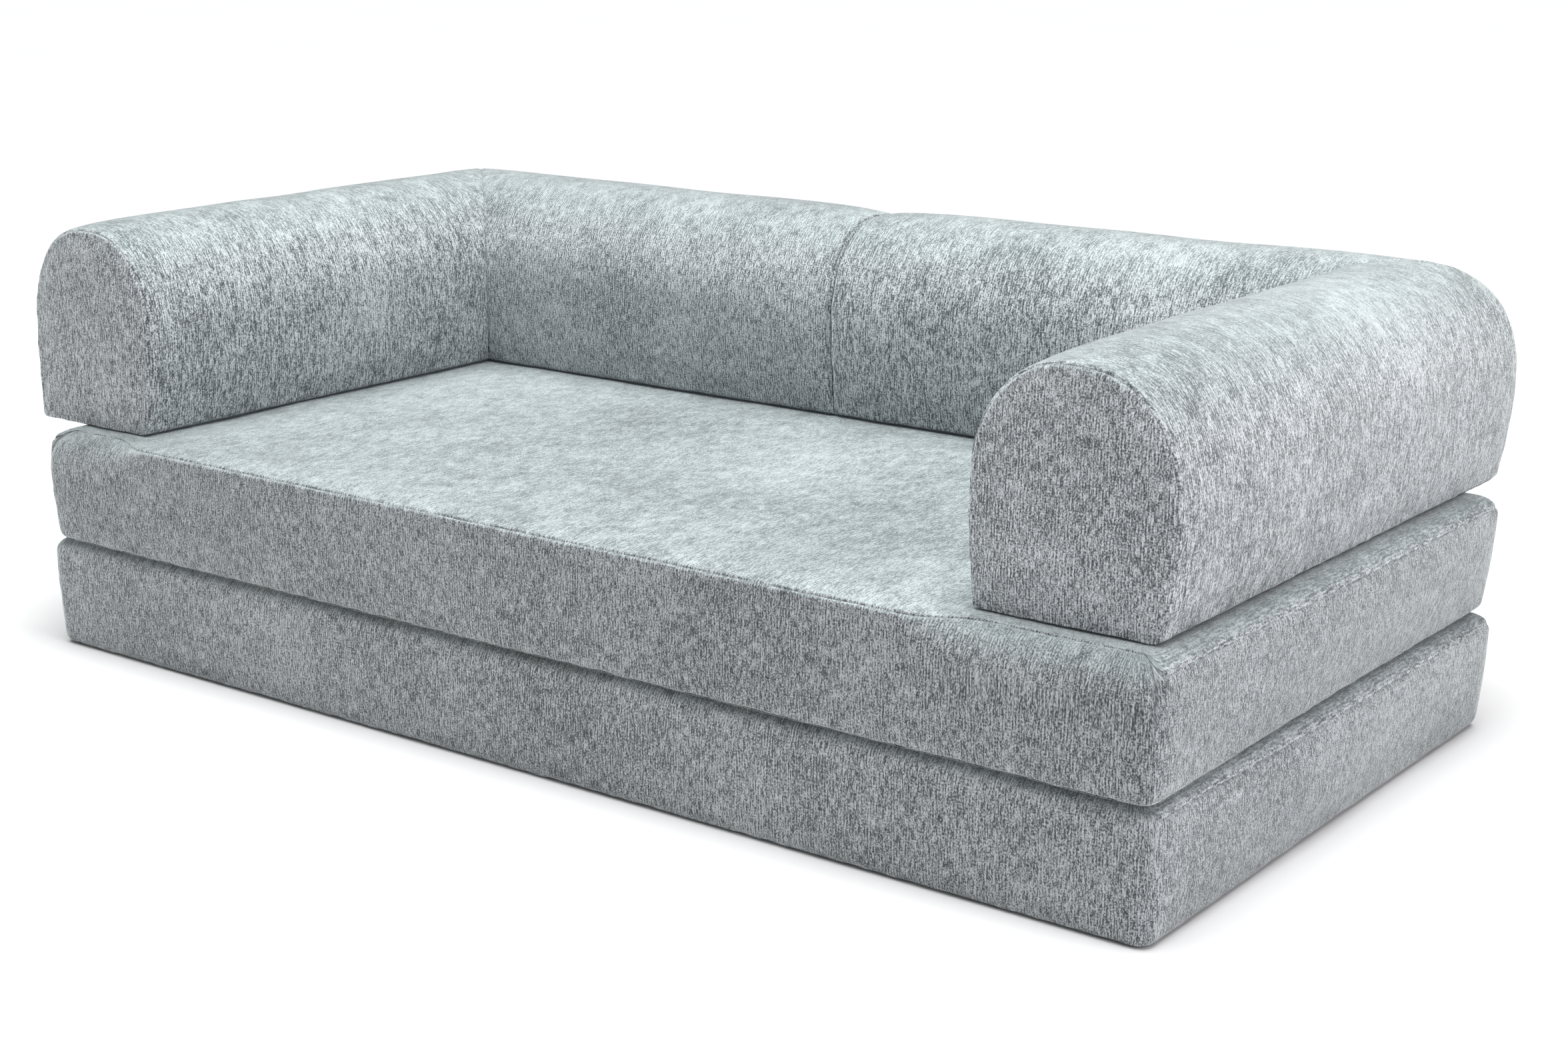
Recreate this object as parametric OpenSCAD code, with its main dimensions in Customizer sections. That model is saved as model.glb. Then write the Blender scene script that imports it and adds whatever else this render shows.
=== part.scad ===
// Frameless fold-out sofa bed. Two zipped foam mattresses lie one on the other and are
// hinged along their front edge. Two L-shaped bolsters, each an arm and half of the back,
// stand on the upper mattress and lift off.
// Origin: middle of the lower mattress's underside. -Y is the front, +Z is up.

/* [Mattresses] */
// Width of both mattresses, along X
bed_w = 2000; // [1600:10:2200]
// Depth of both mattresses, along Y
bed_d = 1000; // [800:10:1100]
// Thickness of each mattress
bed_t = 175; // [150:1:200]
// Radius of the upright corners
bed_corner_r = 30; // [20:1:50]
// Radius of the edges where the two mattresses meet
inner_edge_r = 22; // [16:1:26]
// Radius of the upper edge of the seat and the lower edge of the base
outer_edge_r = 12; // [10:1:20]

/* [Bolsters] */
// Thickness of a bolster at half its height
bolster_t = 280; // [240:1:320]
// Height of a bolster above the seat
bolster_h = 326; // [280:1:380]
// Outer length of each leg of a bolster
bolster_leg = 1036; // [900:1:1100]
// Radius of a bolster's lower edges
bolster_foot_r = 20; // [12:1:30]
// Gap between the two bolsters at the middle of the back
centre_gap = 2; // [1:0.5:10]
// Sideways place of that gap from the middle of the seat
bolster_shift = -58; // [-80:1:80]
// Distance of the arms' front ends behind the mattresses' front
bolster_setback = 68; // [0:1:90]

/* [Covers and filling] */
// Thickness of the upholstery fabric
cover_t = 1.5; // [1:0.1:2.5]
// Thickness of the wadding between cover and foam
wadding_t = 8; // [5:0.5:10]
// Space between a mattress's border and its foam, where the zip tape lies
side_gap = 3; // [2.5:0.1:4]
// Width of the seam line between two panels of a cover
seam_gap = 0.4; // [0.2:0.1:1]
// Thickness of the fabric strip that hinges the mattresses
hinge_strip_t = 2; // [1:0.1:2.2]

/* [Zips] */
// Length of the zip in a mattress's rear border
bed_zip_l = 1700; // [900:10:1800]
// Length of the zip in the rear of a bolster
bolster_zip_l = 760; // [400:10:800]
// Height of a bolster's zip above the seat
bolster_zip_z = 60; // [45:1:120]
// Width of a zip's tape
zip_tape_w = 30; // [24:1:40]
// Width of a zip's row of teeth
zip_chain_w = 6; // [5:0.5:8]
// Length of a zip's puller
puller_l = 34; // [24:1:45]

/* [Hidden] */
$fn = 48;

// Clearance between pieces that move apart
body_gap = 0.3;
// Clearance between a cover and what it holds
fill_gap = 0.4;
seat_z = bed_t + body_gap;
bolster_z = seat_z + bed_t + body_gap;
rear_y = bed_d / 2;
bolster_rear_y = -bed_d / 2 + bolster_setback + bolster_leg;
bolster_outer_x = bolster_leg + centre_gap / 2;
core_inset = cover_t + side_gap;
core_end = cover_t + wadding_t + 2 * fill_gap;
wadding_inset = 16;
low_wadding_z = cover_t + fill_gap;
high_wadding_z = bed_t - cover_t - fill_gap - wadding_t;
bolster_end_inset = 12;
dome_r = bolster_t / 2;
far = 3000;
// Zip hardware, with Y outwards from the fabric's outer face
chain_proud = 1;
tape_t = 1;
tape_y = -cover_t - 0.2 - tape_t;
tape_end = 12;
slot_w = zip_chain_w + 3;
slider_l = 14;
slider_w = 11;
slider_foot_y = 0.3;
slider_top_y = 3;
bridge_l = 8;
bridge_w = 3;
bridge_top_y = 6.4;
pivot_y = 4.6;
pivot_r = 1;
pivot_clear = 0.1;
puller_w = 9;
puller_t = 1.8;
puller_window = 6;
fabric = "#A3ABB0";
foam = "#EFE3B4";
wadding = "#F4F4F1";
lining = "#5E646A";
tape = "#8A9298";
metal = "#B9BDC1";

// ---- Flat shapes ----

// A rectangle from (x0, y0) to (x1, y1), with its own radius on its lower and upper corners
module round_box(x0, y0, x1, y1, r_low, r_high) {
    translate([x0 + r_low, y0]) square([x1 - x0 - 2 * r_low, y1 - y0 - r_high]);
    translate([x0 + r_high, y0 + r_low]) square([x1 - x0 - 2 * r_high, y1 - y0 - r_low]);
    translate([x0, y0 + r_low]) square([x1 - x0, y1 - y0 - r_low - r_high]);
    for (x = [x0 + r_low, x1 - r_low]) translate([x, y0 + r_low]) circle(r_low);
    for (x = [x0 + r_high, x1 - r_high]) translate([x, y1 - r_high]) circle(r_high);
}

// A bolster's section: a flat foot with rounded edges, upright sides and a half-round top.
// X runs from the outer side (0) inwards to -bolster_t, and inset shrinks it all round.
module d_section(inset) {
    foot = bolster_foot_r - min(inset, bolster_foot_r - 2);
    dome_z = bolster_h - dome_r;
    translate([-dome_r, dome_z]) circle(dome_r - inset);
    round_box(-bolster_t + inset, inset, -inset, dome_z + 2, foot, 1);
}

// ---- Mattresses ----

// A mattress block with rounded corners and edges, standing on z = 0 and shrunk by inset
module block(r_low, r_high, inset) {
    x = bed_w / 2 - inset;
    y = bed_d / 2 - inset;
    z0 = inset;
    z1 = bed_t - inset;
    low = r_low - inset;
    high = r_high - inset;
    corner = bed_corner_r - inset;
    intersection() {
        linear_extrude(bed_t) round_box(-x, -y, x, y, corner, corner);
        translate([0, y, 0]) rotate([90, 0, 0])
            linear_extrude(2 * y) round_box(-x, z0, x, z1, low, high);
        rotate([90, 0, 90]) translate([0, 0, -x])
            linear_extrude(2 * x) round_box(-y, z0, y, z1, low, high);
    }
}

// The part of a mattress's fabric skin between two heights
module skin(r_low, r_high, z0, z1) {
    intersection() {
        difference() {
            block(r_low, r_high, 0);
            block(r_low, r_high, cover_t);
        }
        translate([-bed_w, -bed_d, z0]) cube([2 * bed_w, 2 * bed_d, z1 - z0]);
    }
}

// Heights of a mattress's two panel seams, half-way round each edge's radius
function low_seam(r) = r / 2;
function high_seam(r) = bed_t - r / 2;

module bed_top_panel(r_low, r_high) {
    skin(r_low, r_high, high_seam(r_high) + seam_gap / 2, bed_t + 1);
}

module bed_underside(r_low, r_high) {
    skin(r_low, r_high, -1, low_seam(r_low) - seam_gap / 2);
}

module bed_border(r_low, r_high) {
    difference() {
        skin(r_low, r_high, low_seam(r_low) + seam_gap / 2, high_seam(r_high) - seam_gap / 2);
        translate([0, rear_y, bed_t / 2]) zip_slot(bed_zip_l);
    }
}

// The room inside a mattress's cover
module bed_room(r_low, r_high) {
    block(r_low, r_high, cover_t + fill_gap);
}

module bed_foam(r_low, r_high) {
    x = bed_w / 2 - core_inset;
    y = bed_d / 2 - core_inset;
    intersection() {
        translate([-x, -y, core_end]) cube([2 * x, 2 * y, bed_t - 2 * core_end]);
        bed_room(r_low, r_high);
    }
}

// A flat sheet of wadding that starts at height z
module bed_wadding(r_low, r_high, z) {
    x = bed_w / 2 - wadding_inset;
    y = bed_d / 2 - wadding_inset;
    intersection() {
        translate([-x, -y, z]) cube([2 * x, 2 * y, wadding_t]);
        bed_room(r_low, r_high);
    }
}

// ---- Zips, running along X, with their outer face at y = 0 and +Y outwards ----

module zip_slot(length) {
    translate([-length / 2, -cover_t - 1, -slot_w / 2])
        cube([length, cover_t + 2, slot_w]);
}

// The room that a zip's tape takes up in the wadding behind it
module tape_room(length) {
    translate([-length / 2 - tape_end - 1, tape_y - 0.4, -zip_tape_w / 2 - 1])
        cube([length + 2 * tape_end + 2, tape_t + cover_t, zip_tape_w + 2]);
}

// The tape behind the fabric and the closed row of teeth in the slot
module zip(length) {
    translate([-length / 2 - tape_end, tape_y, -zip_tape_w / 2])
        cube([length + 2 * tape_end, tape_t, zip_tape_w]);
    translate([-length / 2 + 1, tape_y + tape_t / 2, -zip_chain_w / 2])
        cube([length - 2, chain_proud - tape_y - tape_t / 2, zip_chain_w]);
}

// The slider straddles the teeth. Its bridge has the bore that the puller's pin turns in.
module slider() {
    channel_w = zip_chain_w + 0.8;
    difference() {
        union() {
            translate([-slider_l / 2, slider_foot_y, -slider_w / 2])
                cube([slider_l, slider_top_y - slider_foot_y, slider_w]);
            translate([-bridge_l / 2, slider_top_y - 0.5, -bridge_w / 2])
                cube([bridge_l, bridge_top_y - slider_top_y + 0.5, bridge_w]);
        }
        translate([-slider_l, -1, -channel_w / 2])
            cube([2 * slider_l, chain_proud + 1.35, channel_w]);
        translate([0, pivot_y, -slider_w]) cylinder(r = pivot_r + pivot_clear, h = 2 * slider_w);
        // The nose is cut narrower, as the two rows of teeth part there
        for (side = [-1, 1])
            translate([slider_l / 2, -1, side * slider_w / 2]) rotate([0, side * 35, 0])
                translate([-2, 0, -1.5]) cube([8, slider_top_y + 3, 3]);
    }
}

// The puller lies flat along +X from its pin, and swings over to -X
module puller() {
    window_w = bridge_w + 0.8;
    tab_l = puller_l - puller_window;
    finger_hole_r = 2;
    difference() {
        union() {
            translate([0, pivot_y - puller_t / 2, -puller_w / 2])
                cube([puller_window + 1, puller_t, puller_w]);
            translate([puller_window, pivot_y + puller_t / 2, 0]) rotate([90, 0, 0])
                linear_extrude(puller_t)
                    round_box(0, -puller_w / 2, tab_l, puller_w / 2, 3, 3);
        }
        translate([-1, pivot_y - puller_t, -window_w / 2])
            cube([puller_window + 1, 2 * puller_t, window_w]);
        translate([puller_l - 6, pivot_y - puller_t, 0]) rotate([-90, 0, 0])
            cylinder(r = finger_hole_r, h = 2 * puller_t);
    }
    translate([0, pivot_y, -puller_w / 2]) cylinder(r = pivot_r, h = puller_w);
}

// ---- Bolsters. The outer rear corner is at (0, 0); the arm runs along -Y and the back along -X ----

module arm_sweep(end_inset) {
    length = bolster_leg - end_inset;
    intersection() {
        rotate([90, 0, 0]) linear_extrude(length) children();
        mitre_half();
    }
}

module back_sweep(end_inset) {
    mirror([1, -1, 0]) arm_sweep(end_inset) children();
}

// Everything on the arm's side of the mitre plane
module mitre_half() {
    drop = seam_gap / 2 * sqrt(2);
    linear_extrude(2 * bolster_h)
        polygon([[far, far - drop], [far, -far - drop], [-far, -far - drop]]);
}

module cover_section() {
    difference() {
        d_section(0);
        d_section(cover_t);
        translate([-bolster_t + bolster_foot_r, -1])
            square([bolster_t - 2 * bolster_foot_r, cover_t + 2]);
    }
}

module wadding_section() {
    difference() {
        d_section(cover_t + fill_gap);
        d_section(cover_t + fill_gap + wadding_t);
    }
}

module arm_cover() {
    arm_sweep(cover_t + seam_gap) cover_section();
}

module back_cover() {
    difference() {
        back_sweep(cover_t + seam_gap) cover_section();
        translate([-bolster_leg / 2, 0, bolster_zip_z]) zip_slot(bolster_zip_l);
    }
}

module end_cap() {
    translate([0, -bolster_leg + cover_t, 0]) rotate([90, 0, 0])
        linear_extrude(cover_t) d_section(0);
}

// The flat L under a bolster, between its rounded lower edges and its two end caps
module bolster_underside() {
    out = bolster_foot_r + seam_gap;
    back_in = bolster_t - out;
    end = bolster_leg - cover_t - seam_gap;
    linear_extrude(cover_t)
        polygon([[-out, -out], [-end, -out], [-end, -back_in], [-back_in, -back_in],
            [-back_in, -end], [-out, -end]]);
}

// Puts a bolster's piece in place: side is 1 for the right and -1 for the left
module place_bolster(side) {
    corner_x = bolster_shift + side * bolster_outer_x;
    translate([corner_x, bolster_rear_y, bolster_z])
        mirror([side < 0 ? 1 : 0, 0, 0]) children();
}

module place_bolster_zip(side, x) {
    place_bolster(side) translate([-bolster_leg / 2 + x, 0, bolster_zip_z]) children();
}

// ---- Nodes: the base, which is the lower mattress ----

module base_foam() { color(foam) bed_foam(outer_edge_r, inner_edge_r); }
module base_wadding_top() { color(wadding) bed_wadding(outer_edge_r, inner_edge_r, high_wadding_z); }
module base_wadding_bottom() { color(wadding) bed_wadding(outer_edge_r, inner_edge_r, low_wadding_z); }
module base_top_panel() { color(fabric) bed_top_panel(outer_edge_r, inner_edge_r); }
module base_border() { color(fabric) bed_border(outer_edge_r, inner_edge_r); }
module base_underside() { color(lining) bed_underside(outer_edge_r, inner_edge_r); }

module place_base_zip(x) { translate([x, rear_y, bed_t / 2]) children(); }
zip_rest_x = bed_zip_l / 2 - slider_l;
module base_zip() { color(tape) place_base_zip(0) zip(bed_zip_l); }
module base_zip_slider() { color(metal) place_base_zip(zip_rest_x) slider(); }
module base_zip_puller() { color(metal) place_base_zip(zip_rest_x) puller(); }

// The folded fabric strip in the groove between the two front edges
module hinge_strip() {
    back = -bed_d / 2 + inner_edge_r - 6;
    front = -bed_d / 2 + 7;
    half = hinge_strip_t / 2;
    length = bed_w - 3 * bed_corner_r;
    color(fabric) translate([-length / 2, 0, bed_t + body_gap / 2]) rotate([90, 0, 90])
        linear_extrude(length)
            polygon([[back, half * 0.35], [front + 3, half], [front, half * 0.5],
                [front, -half * 0.5], [front + 3, -half], [back, -half * 0.35]]);
}

// ---- Nodes: the seat, which is the upper mattress ----

module place_seat() { translate([0, 0, seat_z]) children(); }
module seat_foam() { color(foam) place_seat() bed_foam(inner_edge_r, outer_edge_r); }
module seat_wadding_top() {
    color(wadding) place_seat() bed_wadding(inner_edge_r, outer_edge_r, high_wadding_z);
}
module seat_wadding_bottom() {
    color(wadding) place_seat() bed_wadding(inner_edge_r, outer_edge_r, low_wadding_z);
}
module seat_top_panel() { color(fabric) place_seat() bed_top_panel(inner_edge_r, outer_edge_r); }
module seat_border() { color(fabric) place_seat() bed_border(inner_edge_r, outer_edge_r); }
module seat_underside() { color(fabric) place_seat() bed_underside(inner_edge_r, outer_edge_r); }
module seat_zip() { color(tape) place_seat() place_base_zip(0) zip(bed_zip_l); }
module seat_zip_slider() { color(metal) place_seat() place_base_zip(zip_rest_x) slider(); }
module seat_zip_puller() { color(metal) place_seat() place_base_zip(zip_rest_x) puller(); }

// ---- Nodes: the bolsters ----

core_section_inset = cover_t + 2 * fill_gap + wadding_t;
cap_inset = cover_t + fill_gap;
bolster_zip_rest_x = bolster_zip_l / 2 - slider_l;

module arm_foam(side) {
    color(foam) place_bolster(side) arm_sweep(cap_inset) d_section(core_section_inset);
}
module back_foam(side) {
    color(foam) place_bolster(side) back_sweep(cap_inset) d_section(core_section_inset);
}
module arm_wadding(side) {
    color(wadding) place_bolster(side) arm_sweep(bolster_end_inset) wadding_section();
}
module back_wadding(side) {
    color(wadding) difference() {
        place_bolster(side) back_sweep(bolster_end_inset) wadding_section();
        place_bolster_zip(side, 0) tape_room(bolster_zip_l);
    }
}
module arm_skin(side) { color(fabric) place_bolster(side) arm_cover(); }
module back_skin(side) { color(fabric) place_bolster(side) back_cover(); }
module front_cap(side) { color(fabric) place_bolster(side) end_cap(); }
module centre_cap(side) { color(fabric) place_bolster(side) mirror([1, -1, 0]) end_cap(); }
module underside(side) { color(lining) place_bolster(side) bolster_underside(); }
module bolster_zip(side) { color(tape) place_bolster_zip(side, 0) zip(bolster_zip_l); }
module bolster_slider(side) {
    color(metal) place_bolster_zip(side, bolster_zip_rest_x) slider();
}
module bolster_puller(side) {
    color(metal) place_bolster_zip(side, bolster_zip_rest_x) puller();
}

base_foam();
base_wadding_top();
base_wadding_bottom();
base_top_panel();
base_border();
base_underside();
base_zip();
base_zip_slider();
base_zip_puller();
hinge_strip();
seat_foam();
seat_wadding_top();
seat_wadding_bottom();
seat_top_panel();
seat_border();
seat_underside();
seat_zip();
seat_zip_slider();
seat_zip_puller();
arm_foam(-1);  // left_arm_foam
back_foam(-1);  // left_back_foam
arm_wadding(-1);  // left_arm_wadding
back_wadding(-1);  // left_back_wadding
arm_skin(-1);  // left_arm_cover
back_skin(-1);  // left_back_cover
front_cap(-1);  // left_front_cap
centre_cap(-1);  // left_centre_cap
underside(-1);  // left_underside
bolster_zip(-1);  // left_zip
bolster_slider(-1);  // left_zip_slider
bolster_puller(-1);  // left_zip_puller
arm_foam(1);  // right_arm_foam
back_foam(1);  // right_back_foam
arm_wadding(1);  // right_arm_wadding
back_wadding(1);  // right_back_wadding
arm_skin(1);  // right_arm_cover
back_skin(1);  // right_back_cover
front_cap(1);  // right_front_cap
centre_cap(1);  // right_centre_cap
underside(1);  // right_underside
bolster_zip(1);  // right_zip
bolster_slider(1);  // right_zip_slider
bolster_puller(1);  // right_zip_puller
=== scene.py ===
"""Looks of the frameless sofa bed: soft covers, zips, hinge strip, materials, light and camera.

Every soft cover is a grid of quads laid out panel by panel. Cloth simulation under pressure
puffs it, the puff is capped as foam would cap it, and then the seams are pressed in. Each
cover carries its weave coordinates in metres (across and along the warp of each panel).
"""
import math

import bpy
import numpy as np
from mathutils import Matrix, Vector


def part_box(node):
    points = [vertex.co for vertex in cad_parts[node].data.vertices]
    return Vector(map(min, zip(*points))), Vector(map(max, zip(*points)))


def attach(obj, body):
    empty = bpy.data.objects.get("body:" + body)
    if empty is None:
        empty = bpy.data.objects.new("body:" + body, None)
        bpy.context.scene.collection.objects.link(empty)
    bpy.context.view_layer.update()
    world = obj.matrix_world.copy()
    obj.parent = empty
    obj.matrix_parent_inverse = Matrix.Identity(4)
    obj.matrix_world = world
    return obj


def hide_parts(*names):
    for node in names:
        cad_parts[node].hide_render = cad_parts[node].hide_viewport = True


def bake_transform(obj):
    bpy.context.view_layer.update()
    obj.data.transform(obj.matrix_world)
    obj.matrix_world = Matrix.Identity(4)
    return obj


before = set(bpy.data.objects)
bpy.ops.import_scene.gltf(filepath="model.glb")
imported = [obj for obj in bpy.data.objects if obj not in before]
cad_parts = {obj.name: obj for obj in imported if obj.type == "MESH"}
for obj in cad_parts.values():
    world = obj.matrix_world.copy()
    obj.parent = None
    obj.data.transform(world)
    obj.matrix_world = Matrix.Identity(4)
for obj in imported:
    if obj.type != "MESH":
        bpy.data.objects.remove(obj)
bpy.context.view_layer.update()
SCENE = bpy.context.scene
SEED = 11

# ---- Sizes taken from the frame ----

BASE_LOW, BASE_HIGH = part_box("base_border")
BASE_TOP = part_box("base_top_panel")[1].z
BASE_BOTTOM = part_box("base_underside")[0].z
SEAT_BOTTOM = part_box("seat_underside")[0].z
SEAT_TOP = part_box("seat_top_panel")[1].z
BED_X = BASE_HIGH.x
BED_Y = BASE_HIGH.y
RIGHT_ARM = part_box("right_arm_cover")
LEFT_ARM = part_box("left_arm_cover")
BOLSTER_Z = RIGHT_ARM[0].z
BOLSTER_H = RIGHT_ARM[1].z - RIGHT_ARM[0].z
BOLSTER_T = RIGHT_ARM[1].x - RIGHT_ARM[0].x
REAR_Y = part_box("right_back_cover")[1].y
FRONT_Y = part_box("right_front_cap")[0].y
LEG = REAR_Y - FRONT_Y


# ---- Small helpers ----

def stations(length, cell, fine):
    """Cuts from 0 to length: the fine steps at both ends, and even cells between them."""
    ends = np.cumsum([0.0] + list(fine))
    middle = length - 2 * ends[-1]
    count = max(1, round(middle / cell))
    inner = ends[-1] + middle * np.arange(1, count) / count
    return np.concatenate([ends, inner, length - ends[::-1]])


def smooth_step(x):
    x = np.clip(x, 0.0, 1.0)
    return x * x * (3 - 2 * x)


def waves(points, size, seed, octaves=2):
    """Smooth noise, about -1 to 1, as a sum of sine waves in random directions."""
    draw = np.random.default_rng(seed)
    total = np.zeros(len(points))
    weight = 0.0
    for octave in range(octaves):
        for _ in range(6):
            direction = draw.normal(size=3)
            direction /= np.linalg.norm(direction)
            length = size * draw.uniform(0.7, 1.4) / 2 ** octave
            phase = draw.uniform(0, 2 * math.pi)
            share = 0.6 ** octave
            total += share * np.sin(points @ direction * 2 * math.pi / length + phase)
            weight += share * share * 0.5
    return total / math.sqrt(weight) / 1.6


def stack(*parts):
    return np.stack(np.broadcast_arrays(*parts), -1)


def link(name, mesh):
    piece = bpy.data.objects.new(name, mesh)
    SCENE.collection.objects.link(piece)
    return piece


def grid_faces(index, flip=False):
    """Quads over a 2D array of vertex numbers."""
    a, b = index[:-1, :-1].ravel(), index[1:, :-1].ravel()
    c, d = index[1:, 1:].ravel(), index[:-1, 1:].ravel()
    quads = np.stack([a, b, c, d], 1)
    return quads[:, ::-1] if flip else quads


class Cover:
    """Collects the panels of a soft cover, welds them where they meet and makes the mesh."""

    def __init__(self):
        self.points, self.faces, self.weave = [], [], []
        self.values, self.material, self.nap, self.count = [], [], [], 0

    def add(self, points, weave, seam, limit, offset, flip=False, material=0, nap=1.0):
        """points (n, m, 3) with their weave (n, m, 2), metres from the nearest seam and the
        furthest that each may puff out. offset gives each panel its own stretch of cloth. The last
        argument is painted light and shade: a factor on how light the panel's colour is made."""
        n, m = seam.shape
        index = np.arange(n * m).reshape(n, m) + self.count
        quads = grid_faces(index, flip)
        self.points.append(points.reshape(-1, 3))
        self.values.append(stack(seam, limit).reshape(-1, 2))
        self.faces.append(quads)
        self.material.append(np.full(len(quads), material))
        self.nap.append(np.full(len(quads), nap))
        flat = weave.reshape(-1, 2)[quads - self.count]
        panel = np.full(quads.shape + (1,), offset)
        self.weave.append(np.concatenate([flat, panel], 2))
        self.count += n * m

    def build(self, name):
        points = np.concatenate(self.points)
        values = np.concatenate(self.values)
        keys = np.round(points / 2e-5).astype(np.int64)
        _, first, back = np.unique(keys, axis=0, return_index=True, return_inverse=True)
        back = back.ravel()
        low = np.full((len(first), 2), 9.0)
        np.minimum.at(low, back, values)
        faces = back[np.concatenate(self.faces)]
        mesh = bpy.data.meshes.new(name)
        mesh.from_pydata(points[first].tolist(), [], faces.tolist())
        mesh.update()
        layer = mesh.attributes.new("weave", "FLOAT_VECTOR", "CORNER")
        weave = np.concatenate(self.weave)
        layer.data.foreach_set("vector", weave.astype(np.float32).ravel())
        for column, label in enumerate(("seam", "limit")):
            layer = mesh.attributes.new(label, "FLOAT", "POINT")
            layer.data.foreach_set("value", low[:, column].astype(np.float32))
        # Painted light and shade: each face carries its panel's factor, which the upholstery
        # multiplies into its colour
        layer = mesh.attributes.new("nap", "FLOAT", "FACE")
        layer.data.foreach_set("value", np.concatenate(self.nap).astype(np.float32))
        mesh.polygons.foreach_set("material_index", np.concatenate(self.material).astype(np.int32))
        mesh.shade_smooth()
        return link(name, mesh)


def read_points(piece, what="co"):
    out = np.zeros(len(piece.data.vertices) * 3, np.float32)
    piece.data.vertices.foreach_get(what, out)
    return out.reshape(-1, 3).astype(float)


def read_normals(piece):
    return read_points(piece, "normal")


def read_value(piece, name):
    out = np.zeros(len(piece.data.vertices), np.float32)
    piece.data.attributes[name].data.foreach_get("value", out)
    return out.astype(float)


def write_points(piece, points):
    piece.data.vertices.foreach_set("co", points.astype(np.float32).ravel())
    piece.data.update()


def baked(piece):
    """The piece's mesh with its modifiers applied, put back as its own mesh."""
    graph = bpy.context.evaluated_depsgraph_get()
    shaped = bpy.data.meshes.new_from_object(piece.evaluated_get(graph))
    shaped.name = piece.name
    piece.modifiers.clear()
    old = piece.data
    piece.data = shaped
    bpy.data.meshes.remove(old)


# ---- Cloth under pressure ----

PRESSURE = 4.0
SIM_FRAMES = 20
STRETCH_STIFFNESS = 8
SHEAR_STIFFNESS = 5
BENDING_STIFFNESS = 0.5
# The share of each point's travel along the surface that is kept
SLIDE = 0.25


def puff(piece):
    """Puffs the cover by cloth simulation, holding its seams, and caps each point's travel at
    its limit with a soft stop: the foam inside keeps it from sliding or sinking in."""
    rest, normals = read_points(piece), read_normals(piece)
    limit = read_value(piece, "limit")
    held = piece.vertex_groups.new(name="held")
    held.add(np.flatnonzero(limit < 1e-5).tolist(), 1.0, "REPLACE")
    cloth = piece.modifiers.new("cloth", "CLOTH")
    how = cloth.settings
    how.quality = 5
    how.mass = 0.3
    how.tension_stiffness = STRETCH_STIFFNESS
    how.compression_stiffness = STRETCH_STIFFNESS
    how.shear_stiffness = SHEAR_STIFFNESS
    how.bending_stiffness = BENDING_STIFFNESS
    how.use_pressure = True
    how.uniform_pressure_force = PRESSURE
    how.vertex_group_mass = "held"
    how.effector_weights.gravity = 0
    cloth.collision_settings.use_collision = False
    cloth.point_cache.frame_start = 1
    cloth.point_cache.frame_end = SIM_FRAMES
    for number in range(1, SIM_FRAMES + 1):
        SCENE.frame_set(number)
    baked(piece)
    piece.vertex_groups.clear()
    moved = read_points(piece)
    SCENE.frame_set(1)
    step = moved - rest
    out = (step * normals).sum(1)[:, None] * normals
    step = SLIDE * (step - out) + out * ((step * normals).sum(1) > 0)[:, None]
    far = np.maximum(np.linalg.norm(step, axis=1), 1e-9)
    reach = np.maximum(limit, 1e-9)
    write_points(piece, rest + step * (reach * np.tanh(far / reach) / far)[:, None])


def subdivide(piece):
    piece.modifiers.new("round", "SUBSURF").levels = 1
    baked(piece)


# The valley's width, and over what length its depth varies; the gathers' height, length, reach
SEAM_WIDTH = 0.0030
SEAM_WAVE = 0.11
GATHER = 0.0008
GATHER_WAVE = 0.042
GATHER_REACH = 0.012


def press_seams(piece, depth, seed):
    """Pulls each seam in to a narrow valley with small gathers along its two sides."""
    points, normals = read_points(piece), read_normals(piece)
    seam = read_value(piece, "seam")
    pull = 1 + 0.35 * waves(points, SEAM_WAVE, seed)
    groove = -depth * pull * np.exp(-(seam / SEAM_WIDTH) ** 2)
    groove += 0.2 * depth * np.exp(-((seam - 2.2 * SEAM_WIDTH) / SEAM_WIDTH) ** 2)
    near = np.exp(-(seam / GATHER_REACH) ** 2) * smooth_step(seam / SEAM_WIDTH)
    gathers = GATHER * waves(points, GATHER_WAVE, seed + 1) * near
    write_points(piece, points + normals * (groove + gathers)[:, None])


# ---- Mattress covers ----

# Plan corners: their radius, and the band inside the rim over which they square up
PLAN_R = 0.020
ZONE = 0.060
# Mesh lines: fine steps beside a seam, even cells between, and steps beside a zip's middle
EDGE_FINE = (0.002, 0.003, 0.004, 0.005, 0.007, 0.010)
CELL = 0.020
ZIP_BAND = (0.0040, 0.0075, 0.0120)
ZIP_CLEAR = 0.006
# The furthest that each kind of panel puffs out, and how far from a seam it gets there
SIDE_PUFF = 0.006
FRONT_PUFF = 0.0020
SEAT_PUFF = 0.0045
SEAM_FADE = 0.03
# Painted light and shade: how light each border's colour is made, a factor fitted to how it is lit
BASE_PAINTED_LIGHT = 0.93
SEAT_PAINTED_LIGHT = 0.885
# Mattress seams are softer than the bolsters', by this much added distance
SEAM_SOFT = 0.0009
# The share of the sideways lean that is left at the front right corner
CORNER_LEAN = 0.1
# The furthest that a front stands past its CAD plane
FRONT_REACH = 0.0022
# The seat's front edge turns soft this far before each arm, over this length
SOFT_BEFORE = 0.08
SOFT_BLEND = 0.12
# The band over which the seat's crown fades out in front of the bolsters
CROWN_FADE = 0.10


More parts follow.
